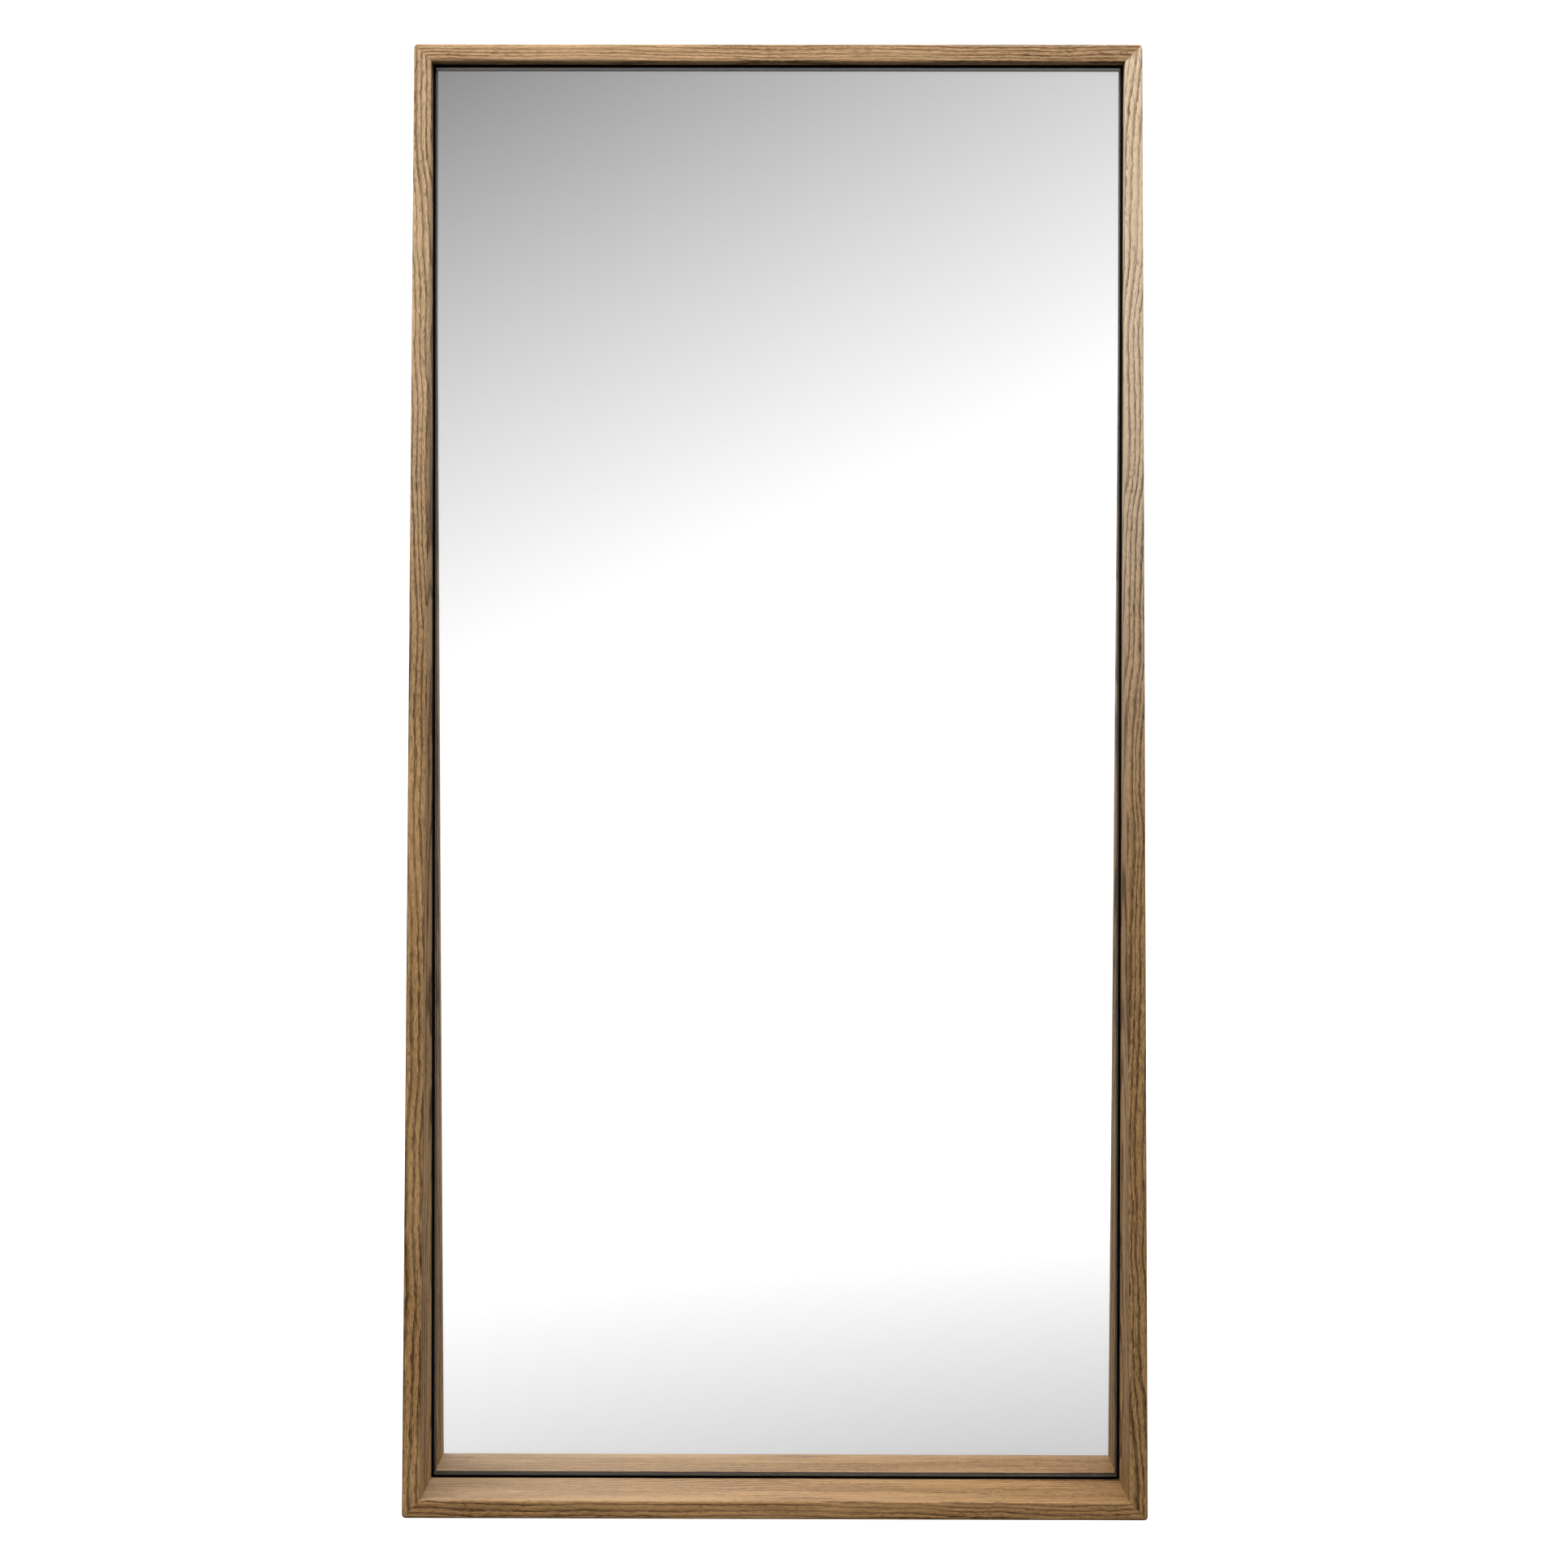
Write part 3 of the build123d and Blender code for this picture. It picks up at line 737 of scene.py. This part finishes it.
def build_world():
    """A white studio. Ahead of the mirror it falls to grey with height, darker on the left.

    What it lights is lit more softly than it is seen, and mostly from above.
    """
    from_level, fall, sideways, darkest = 1.47, 3.4, 1.5, 0.25
    left_end, right_end = -0.25, 0.2
    ahead_fully, ahead_partly = -0.85, -0.55
    low, high, low_light, high_light = 0.05, 0.8, 0.16, 2.1
    world = bpy.data.worlds.new("studio")
    bpy.context.scene.world = world
    g = Graph(world)
    x, y, z = g.split(g.add("TexCoord").outputs["Generated"])
    side = g.span(x, left_end, right_end, left_end, right_end, smooth=False)
    wall = g.math("MULTIPLY_ADD", z, -fall, from_level)
    wall = g.math("MULTIPLY_ADD", side, sideways, wall)
    wall = g.math("MINIMUM", g.math("MAXIMUM", wall, darkest), STUDIO_WHITE)
    ahead = g.span(y, ahead_fully, ahead_partly, 1.0, 0.0)
    shade = g.math("MULTIPLY_ADD", g.math("SUBTRACT", wall, STUDIO_WHITE), ahead, STUDIO_WHITE)
    light = g.span(z, low, high, low_light, high_light)
    seen, _ = studio_rays(g)
    shade = g.math("MULTIPLY_ADD", g.math("SUBTRACT", shade, light), seen, light)
    background = g.add("Background", {"Color": WHITE, "Strength": shade})
    g.add("OutputWorld", {"Surface": background.outputs[0]})


def build_camera():
    """The camera: upright and level, then turned, pitched and rolled by its small angles."""
    data = bpy.data.cameras.new("camera")
    data.lens = CAMERA_LENS
    camera = bpy.data.objects.new("camera", data)
    turn = Matrix.Rotation(math.radians(CAMERA_TURN), 4, "Z")
    pitch = Matrix.Rotation(math.radians(90 + CAMERA_PITCH), 4, "X")
    roll = Matrix.Rotation(-math.radians(CAMERA_ROLL), 4, "Z")
    camera.matrix_world = Matrix.Translation(CAMERA_PLACE) @ turn @ pitch @ roll
    bpy.context.scene.collection.objects.link(camera)
    bpy.context.scene.camera = camera


build_floor()
build_world()
area_light("key", place=(0.1, -1.0, 2.6), target=(0.0, 0.0, 1.2), size=(2.0, 0.5), power=13.5)
area_light("overhead", place=(-1.5, -0.7, 3.2), target=(-0.1, -0.05, 0.03), size=(0.8, 0.8), power=38.0)
build_camera()
bpy.context.scene.view_settings.view_transform = "Standard"
